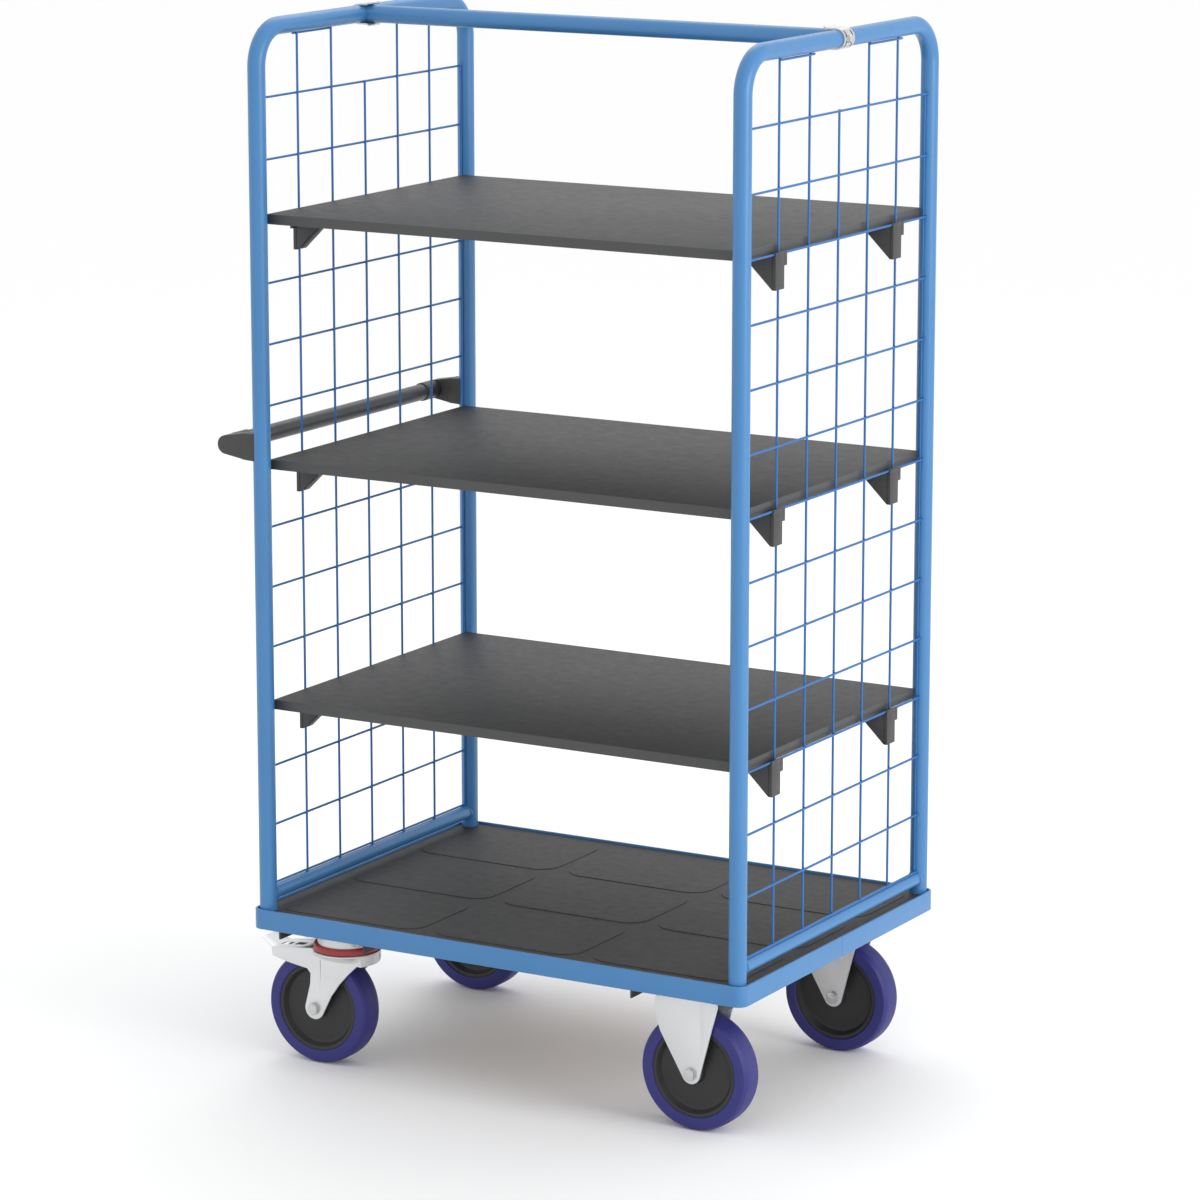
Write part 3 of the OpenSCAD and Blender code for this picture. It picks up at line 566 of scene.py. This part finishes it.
# %% Shelf brackets
beside, outside, behind = wire_r + 0.4, post_x + wire_r + 0.4, row_x + wire_r + 0.3
face_x, drop, arm = behind + 2.2, 55.0, 53.0
for name, low in shelf_lows.items():
    bm = bmesh.new()
    under = low - 0.1
    for s in (-1, 1):
        wire_y = 2 * s * pitch
        gusset = [(outside - 0.5, under - 1), (outside - 0.5, under - drop),
                  (outside - arm, under - 4), (outside - arm, under), (454.6, under),
                  (454.6, under - 1)]
        slab(bm, gusset, "Y", wire_y - 24, wire_y - beside)
        slab(bm, gusset, "Y", wire_y + beside, wire_y + 5.5)
        block(bm, (outside, wire_y - 24, under - drop), (face_x, wire_y + 5.5, under - 1))
        block(bm, (outside + 0.6, wire_y + 4.5, under - 18), (face_x - 0.6, wire_y + 16,
                                                             under - 1))
        block(bm, (behind, wire_y - 24, under - 1.5), (face_x, wire_y + 5.5, under + 5.5))
        block(bm, (behind, wire_y + 4.5, under - 1.5), (face_x - 0.6, wire_y + 16,
                                                       under + 4.5))
    bmesh.ops.recalc_face_normals(bm, faces=bm.faces)
    soften(bm, 0.5, 2)
    geom = bm.verts[:] + bm.edges[:] + bm.faces[:]
    bmesh.ops.spin(bm, geom=geom, cent=(0, 0, 0), axis=(0, 0, 1), angle=math.pi, steps=1,
                   use_duplicate=True)
    new_piece(bm, f"hangers_{name}", "frame", [f"brackets_{name}"], "black_plastic")

# %% [markdown]
# ## Push handle
# A smooth grip tube sits in two moulded brackets that taper from a saddle on the post to
# the tube's round end. A collar shows where the saddle's cover is clipped on.

# %% Push handle
handle_x, handle_z, grip_r, end_r = -522.0, 1084.0, 14.5, 16.0
bm = bmesh.new()
rod(bm, (handle_x, -323, handle_z), (handle_x, 323, handle_z), grip_r, 48)
new_piece(bm, "grip_bar", "frame", ["handle_bar"], "handle_grip")
for s, end in ((-1, "front"), (1, "back")):
    bm = bmesh.new()
    y = s * post_y
    cap = [(handle_x + end_r * math.cos(a), handle_z + end_r * math.sin(a))
           for a in (math.radians(97 + 13.5 * k) for k in range(13))]
    arm_line = cap + [(-489, handle_z - 21.5), (-486, handle_z - 22.2),
                      (-486, handle_z + 22.2), (-489, handle_z + 21.5)]
    slab(bm, arm_line, "Y", y - 13.2, y + 13.2)
    bmesh.ops.recalc_face_normals(bm, faces=bm.faces)
    soften(bm, 4.0, 4, angle=60, where=lambda e: max(v.co.x for v in e.verts) < -486.5)
    slab(bm, [(-488.5, handle_z - 22.6), (-463, handle_z - 24), (-463, handle_z + 23),
              (-488.5, handle_z + 22.6)], "Y", y - 14, y + 14)
    bmesh.ops.recalc_face_normals(bm, faces=bm.faces)
    soften(bm, 1.6, 3, angle=60, where=lambda e: max(v.co.x for v in e.verts) > -488.6
           and min(v.co.x for v in e.verts) > -489)
    collar = [(14.55, 52.8), (14.55, 13), (15.3, 13), (15.3, 15), (16.4, 15.8), (16.4, 52),
              (15.6, 52.8)]
    lathe(bm, [(r, -s * a) for r, a in collar], (handle_x, y, handle_z), "Y", 64)
    new_piece(bm, f"handle_arm_{end}", "frame", [f"handle_bracket_{end}"], "black_plastic")

# %% [markdown]
# ## Wheels
# A tyre is cast round the hub, so its section is one closed profile spun about the axle:
# flat sides, a slanting shoulder and a slightly crowned tread. The hub's web is dished and
# runs into a boss round the axle.

# %% Profiles of tyre and hub
tyre_half = [(77, 0), (77, 23.4), (78.6, 25), (93.5, 25), (95.4, 24.4), (96.6, 22.6),
             (98.6, 19.6), (99.4, 17), (99.8, 13), (100, 8), (100, 0)]
hub_half = [(10.05, 0), (10.05, 26.4), (10.8, 27), (17, 27), (18, 26), (19.4, 16), (20.6, 15.6),
            (23, 15), (40, 14), (58, 13), (62, 13), (65, 14), (69.6, 20.6), (70.6, 22.4),
            (72, 23), (76.2, 23), (77, 22.2), (77, 0)]


def whole(half):
    """A profile and its mirror image, in order round the section."""
    return half + [(r, -a) for r, a in reversed(half) if a]


def wheel(kind, end, body, middle):
    """Tyre and hub of one wheel."""
    bm = bmesh.new()
    lathe(bm, whole(tyre_half), middle, "Y", 144)
    new_piece(bm, f"{kind}_tyre_ring_{end}", body, [f"{kind}_tyre_{end}"], "tyre_rubber")
    bm = bmesh.new()
    lathe(bm, whole(hub_half), middle, "Y", 112)
    new_piece(bm, f"{kind}_hub_disc_{end}", body, [f"{kind}_hub_{end}"], "hub_plastic")


# %% [markdown]
# The axle is a bolt through the fork: a chamfered hex head outside one cheek, a nut and
# the bolt's end outside the other.

# %% Axle bolts
def axle(kind, end, body, middle, s):
    """Axle bolt whose head is on side s."""
    bm = bmesh.new()
    x, y, z = middle
    rod(bm, (x, y - 28.9, z), (x, y + 28.9, z), 10.0, 40)
    for out, low, high in ((s, 33.3, 40.5), (-s, 33.3, 39.5)):
        span = sorted((y + out * low, y + out * high))
        slab(bm, hex_outline((x, z), 19), "Y", *span)
        tip = y + out * high
        soften(bm, 1.3, 2, angle=40, where=lambda e: all(abs(v.co.y - tip) < 0.01
                                                         for v in e.verts))
        rod(bm, (x, y + out * 32.4, z), (x, y + out * 33.6, z), 11.5, 40)
    rod(bm, (x, y - s * 30, z), (x, y - s * 41.4, z), 5.8, 32)
    soften(bm, 0.6, 2, angle=60, where=lambda e: all(abs(v.co.y - (y - s * 41.4)) < 0.01
                                                    for v in e.verts))
    new_piece(bm, f"{kind}_axle_bolt_{end}", body, [f"{kind}_axle_{end}"], "zinc")


# %% [markdown]
# ## Forks
# Forks are pressed from 3.5 mm sheet. A cheek starts as one flat face with the fork's
# outline; cuts along its stiffening groove let that line be pressed in.

# %% Outline helpers
def tangent_arc(centre, radius, first, last, steps=16):
    """Points round the tip of a cheek, from angle first to angle last in degrees."""
    return [(centre[0] + radius * math.cos(a), centre[1] + radius * math.sin(a))
            for a in (math.radians(first + (last - first) * k / steps)
                      for k in range(steps + 1))]


def touch(point, centre, radius, side):
    """Angle at which a line from point touches the circle."""
    dx, dz = point[0] - centre[0], point[1] - centre[1]
    return math.degrees(math.atan2(dz, dx) + side * math.acos(radius / math.hypot(dx, dz)))


def cheek(bm, outline, y0, s, fold_x, fold_low, groove):
    """One cheek on side s, with an upright pressed groove at fold_x that fades out below."""
    part = bmesh.new()
    face = part.faces.new([part.verts.new((x, 0, z)) for x, z in outline])
    width, deep = groove
    cuts = [((fold_x + k * width / 2, 0, 0), (1, 0, 0)) for k in (-1, 0, 1)]
    cuts += [((0, 0, fold_low + k * 14), (0, 0, 1)) for k in range(4)]
    for place, normal in cuts:
        bmesh.ops.bisect_plane(part, geom=part.verts[:] + part.edges[:] + part.faces[:],
                               dist=0.001, plane_co=place, plane_no=normal)
    grown = bmesh.ops.extrude_face_region(part, geom=part.faces[:])["geom"]
    bmesh.ops.translate(part, verts=[g for g in grown if isinstance(g, bmesh.types.BMVert)],
                        vec=(0, 3.5, 0))
    bmesh.ops.recalc_face_normals(part, faces=part.faces)
    soften(part, 0.8, 2, angle=50)
    for v in part.verts:
        if abs(v.co.x - fold_x) < 0.01 and v.co.z > fold_low and v.co.y > 1.5:
            v.co.y -= deep * min(1.0, (v.co.z - fold_low) / 42)
    bmesh.ops.translate(part, verts=part.verts, vec=(0, 29.0, 0))
    if s < 0:
        bmesh.ops.scale(part, verts=part.verts, vec=(1, -1, 1))
        bmesh.ops.reverse_faces(part, faces=part.faces)
    bmesh.ops.translate(part, verts=part.verts, vec=(0, y0, 0))
    scratch = bpy.data.meshes.new("scratch")
    part.to_mesh(scratch)
    part.free()
    bm.from_mesh(scratch)
    bpy.data.meshes.remove(scratch)


# %% Fixed casters
plate_low, plate_high = 240.0, 244.0
caster_y, axle_z, trail, tip_r = 254.0, 100.0, 46.5, 17.0
for s, end in ((-1, "front"), (1, "back")):
    cx, y0, cz = caster_x, s * caster_y, axle_z
    left, right = (cx - 58, cz + 66), (cx + 49, cz + 120)
    tip = (cx, cz)
    sweep_from, sweep_to = touch(left, tip, tip_r, 1), touch(right, tip, tip_r, -1) + 360
    outline = ([(cx + 49, plate_high - 1), (cx - 66, plate_high - 1), (cx - 68, cz + 112),
                (cx - 67, cz + 92), left] + tangent_arc(tip, tip_r, sweep_from, sweep_to) + [right])
    bm = bmesh.new()
    for c in (-1, 1):
        cheek(bm, outline, y0, c, cx + 17.6, 129, (5.0, 1.3))
    round_slab(bm, 140, 110, 10, plate_low, plate_high, (cx, y0))
    new_piece(bm, f"fixed_housing_{end}", "frame", [f"fixed_fork_{end}"], "caster_steel")
    wheel("fixed", end, f"fixed_wheel_{end}", (cx, y0, cz))
    axle("fixed", end, "frame", (cx, y0, cz), s)

# %% [markdown]
# ## Swivel casters
# The crown turns under the top plate on two rows of balls behind a red seal. It is pressed
# as one with the cheeks, so a skirt flares from each cheek out to the crown's round edge.

# %% Swivel casters
crown_r, crown_z = 59.0, 203.5
for s, end in ((-1, "front"), (1, "back")):
    ax, y0 = -caster_x, s * caster_y
    wx, cz = ax - trail, axle_z
    bm = bmesh.new()
    round_slab(bm, 140, 110, 10, plate_low, plate_high, (ax, y0))
    bmesh.ops.recalc_face_normals(bm, faces=bm.faces)
    soften(bm, 0.8, 2, angle=60)
    lathe(bm, [(6.05, 210), (16, 210), (20, 236), (44, 236), (45.5, 234.5), (45.5, 213),
               (46.5, 212), (49, 212), (50, 213), (50, 224), (47.6, 229), (47.6, 237),
               (50, 240.5), (6.05, 240.5)],
          (ax, y0, 0), "Z", 96)
    new_piece(bm, f"swivel_top_{end}", "frame", [f"swivel_plate_{end}"], "caster_steel")
    bm = bmesh.new()
    lathe(bm, [(50.1, 208.4), (50.7, 208), (56, 208), (57, 209), (57, 216.5), (55.5, 219),
               (50.1, 219)], (ax, y0, 0), "Z", 96)
    new_piece(bm, f"red_seal_{end}", "frame", [f"swivel_seal_{end}"], "seal_plastic")

    tip, r = (wx, cz), 19.0
    waist, front = (ax - 55, 143), (ax - 12, 126)
    sweep_from, sweep_to = touch(waist, tip, r, 1), touch(front, tip, r, -1)
    if sweep_to < sweep_from:
        sweep_to += 360
    profile = [(-50, crown_z + 4), (-86, 204), (-134, 197), (-132, 183), (-108, 177),
               (-76, 172), (-61, 170), (-54, 162)]
    outline = ([(ax + x, z) for x, z in profile] + [waist]
               + tangent_arc(tip, r, sweep_from, sweep_to)
               + [front] + [(ax + x, z) for x, z in ((5, 150), (23, 170), (49, 195),
                                                     (49, crown_z + 4))])
    bm = bmesh.new()
    for c in (-1, 1):
        cheek(bm, outline, y0, c, ax - 33.5, 132, (2.2, 2.0))
    lathe(bm, [(6.05, crown_z), (57.8, crown_z), (59, crown_z + 1.2), (59, crown_z + 2.8),
               (57.8, crown_z + 4), (6.05, crown_z + 4)], (ax, y0, 0), "Z", 96)
    for c in (-1, 1):
        lower = [(ax - 49 + 98 * k / 24, y0 + c * 31.5, 187) for k in range(25)]
        low_angle = math.degrees(math.acos(49.2 / crown_r))
        turns = [math.radians(180 - low_angle - (180 - 2 * low_angle) * k / 24)
                 for k in range(25)]
        lines = []
        for share in (0.0, 0.25, 0.5, 0.75, 1.0):
            bulge = share ** 1.8
            lines.append([Vector(a).lerp(Vector((ax + crown_r * math.cos(t),
                                                 y0 + c * crown_r * math.sin(t), 187)), bulge)
                          + Vector((0, 0, 18.5 * share)) for a, t in zip(lower, turns)])
        previous = None
        for line in lines:
            verts = [bm.verts.new(p) for p in line]
            edges = [bm.edges.new(pair) for pair in zip(verts, verts[1:])]
            if previous:
                bmesh.ops.bridge_loops(bm, edges=previous + edges)
            previous = edges
    front_ring = [(ax + 57.6 * math.cos(t), y0 + 57.6 * math.sin(t))
                  for t in (math.radians(-33 + 66 * k / 16) for k in range(17))]
    back_ring = [(ax + (x - ax) * 0.94, y0 + (y - y0) * 0.94) for x, y in reversed(front_ring)]
    slab(bm, front_ring + back_ring, "Z", crown_z - 16.6, crown_z + 0.5)
    bmesh.ops.remove_doubles(bm, verts=bm.verts, dist=0.001)
    new_piece(bm, f"swivel_housing_{end}", f"swivel_{end}", [f"swivel_fork_{end}"],
              "caster_steel")
    wheel("swivel", end, f"swivel_wheel_{end}", (wx, y0, cz))
    axle("swivel", end, f"swivel_{end}", (wx, y0, cz), s)

# %% [markdown]
# The brake lever is a folded plate: a slotted top between two ears and a toe that bends up
# for the foot. It is drawn as one strip, loses its two slots, and is then given its
# thickness. Two pins end inside the cheeks as its pivot.

# %% Brake levers
lever_slots, pivot_x, pivot_z, pivot_r = (-120, -92), -80.5, 193, 3.5
for s, end in ((-1, "front"), (1, "back")):
    ax, y0 = -caster_x, s * caster_y
    bm = bmesh.new()
    line = [(-160.2, 210.8), (-136, 198.5), (-130, 197.9), (-110, 200.3), (-102, 201.2),
            (-82, 203.5), (-64, 205.5)]
    verts = [bm.verts.new((ax + x, y0 - 27.8, z)) for x, z in line]
    edges = [bm.edges.new(pair) for pair in zip(verts, verts[1:])]
    for step in (18.8, 18.0, 18.8):
        edges = push(bm, edges, (0, step, 0))
    slot_face = [f for f in bm.faces if abs(f.calc_center_median().y - y0) < 1
                 and round(f.calc_center_median().x - ax) in lever_slots]
    bmesh.ops.delete(bm, geom=slot_face, context="FACES")
    for v in bm.verts:
        if v.co.x < ax - 150:
            v.co.y = y0 + (v.co.y - y0) * 0.82
    bmesh.ops.recalc_face_normals(bm, faces=bm.faces)
    if sum(f.normal.z for f in bm.faces) < 0:
        bmesh.ops.reverse_faces(bm, faces=bm.faces)
    bmesh.ops.solidify(bm, geom=bm.faces[:], thickness=2.0)
    soften(bm, 0.7, 2, angle=50)
    for c in (-1, 1):
        span = sorted((y0 + c * 25.8, y0 + c * 27.8))
        slab(bm, [(ax + x, z) for x, z in ((-134, 196.5), (-118, 190), (-90, 187), (-72, 187),
                                           (-66, 194), (-64, 204.5))], "Y", *span)
        rod(bm, (ax + pivot_x, y0 + c * 26.8, pivot_z), (ax + pivot_x, y0 + c * 32, pivot_z),
            pivot_r, 24)
    new_piece(bm, f"brake_lever_{end}", f"brake_{end}", [f"pedal_{end}"], "caster_steel")

# %% Camera
lens = 144.0
camera_place = Vector((4.0166, -6.9138, 2.5098))
camera_turn = math.radians(30.1)
camera_tilt = math.radians(12.007)
camera_data = bpy.data.cameras.new("camera")
camera_data.lens = lens
camera_data.sensor_width = 36.0
camera_data.clip_end = 100.0
camera = bpy.data.objects.new("camera", camera_data)
bpy.context.scene.collection.objects.link(camera)
ahead = Vector((-math.sin(camera_turn) * math.cos(camera_tilt),
                math.cos(camera_turn) * math.cos(camera_tilt), -math.sin(camera_tilt)))
camera.rotation_mode = "QUATERNION"
camera.rotation_quaternion = ahead.to_track_quat("-Z", "Y")
camera.location = camera_place
bpy.context.scene.camera = camera

# %% Floor, world and lights
floor_mesh = bpy.data.meshes.new("floor")
bm = bmesh.new()
bmesh.ops.create_grid(bm, x_segments=1, y_segments=1, size=30.0)
bm.to_mesh(floor_mesh)
bm.free()
floor = bpy.data.objects.new("floor", floor_mesh)
bpy.context.scene.collection.objects.link(floor)
floor_finish = bpy.data.materials.new("floor")
floor_finish.use_nodes = True
floor_shader = floor_finish.node_tree.nodes["Principled BSDF"]
floor_shader.inputs["Base Color"].default_value = (0.93, 0.93, 0.93, 1)
floor_shader.inputs["Roughness"].default_value = 0.7
floor.data.materials.append(floor_finish)

world = bpy.data.worlds.new("studio")
bpy.context.scene.world = world
world.use_nodes = True
world.node_tree.nodes["Background"].inputs["Color"].default_value = (1, 1, 1, 1)
world.node_tree.nodes["Background"].inputs["Strength"].default_value = 1.06
bpy.context.scene.view_settings.view_transform = "Standard"


def area_light(name, place, target, size, power):
    data = bpy.data.lights.new(name, "AREA")
    data.shape = "SQUARE"
    data.size = size
    data.energy = power
    light = bpy.data.objects.new(name, data)
    light.location = place
    light.rotation_mode = "QUATERNION"
    light.rotation_quaternion = (Vector(target) - Vector(place)).to_track_quat("-Z", "Y")
    bpy.context.scene.collection.objects.link(light)
    return light


area_light("top_light", (-1.2, 2.6, 4.6), (0, 0, 0.5), 3.0, 34)
area_light("right_light", (5.0, -0.6, 2.2), (0, 0, 0.9), 2.6, 110)
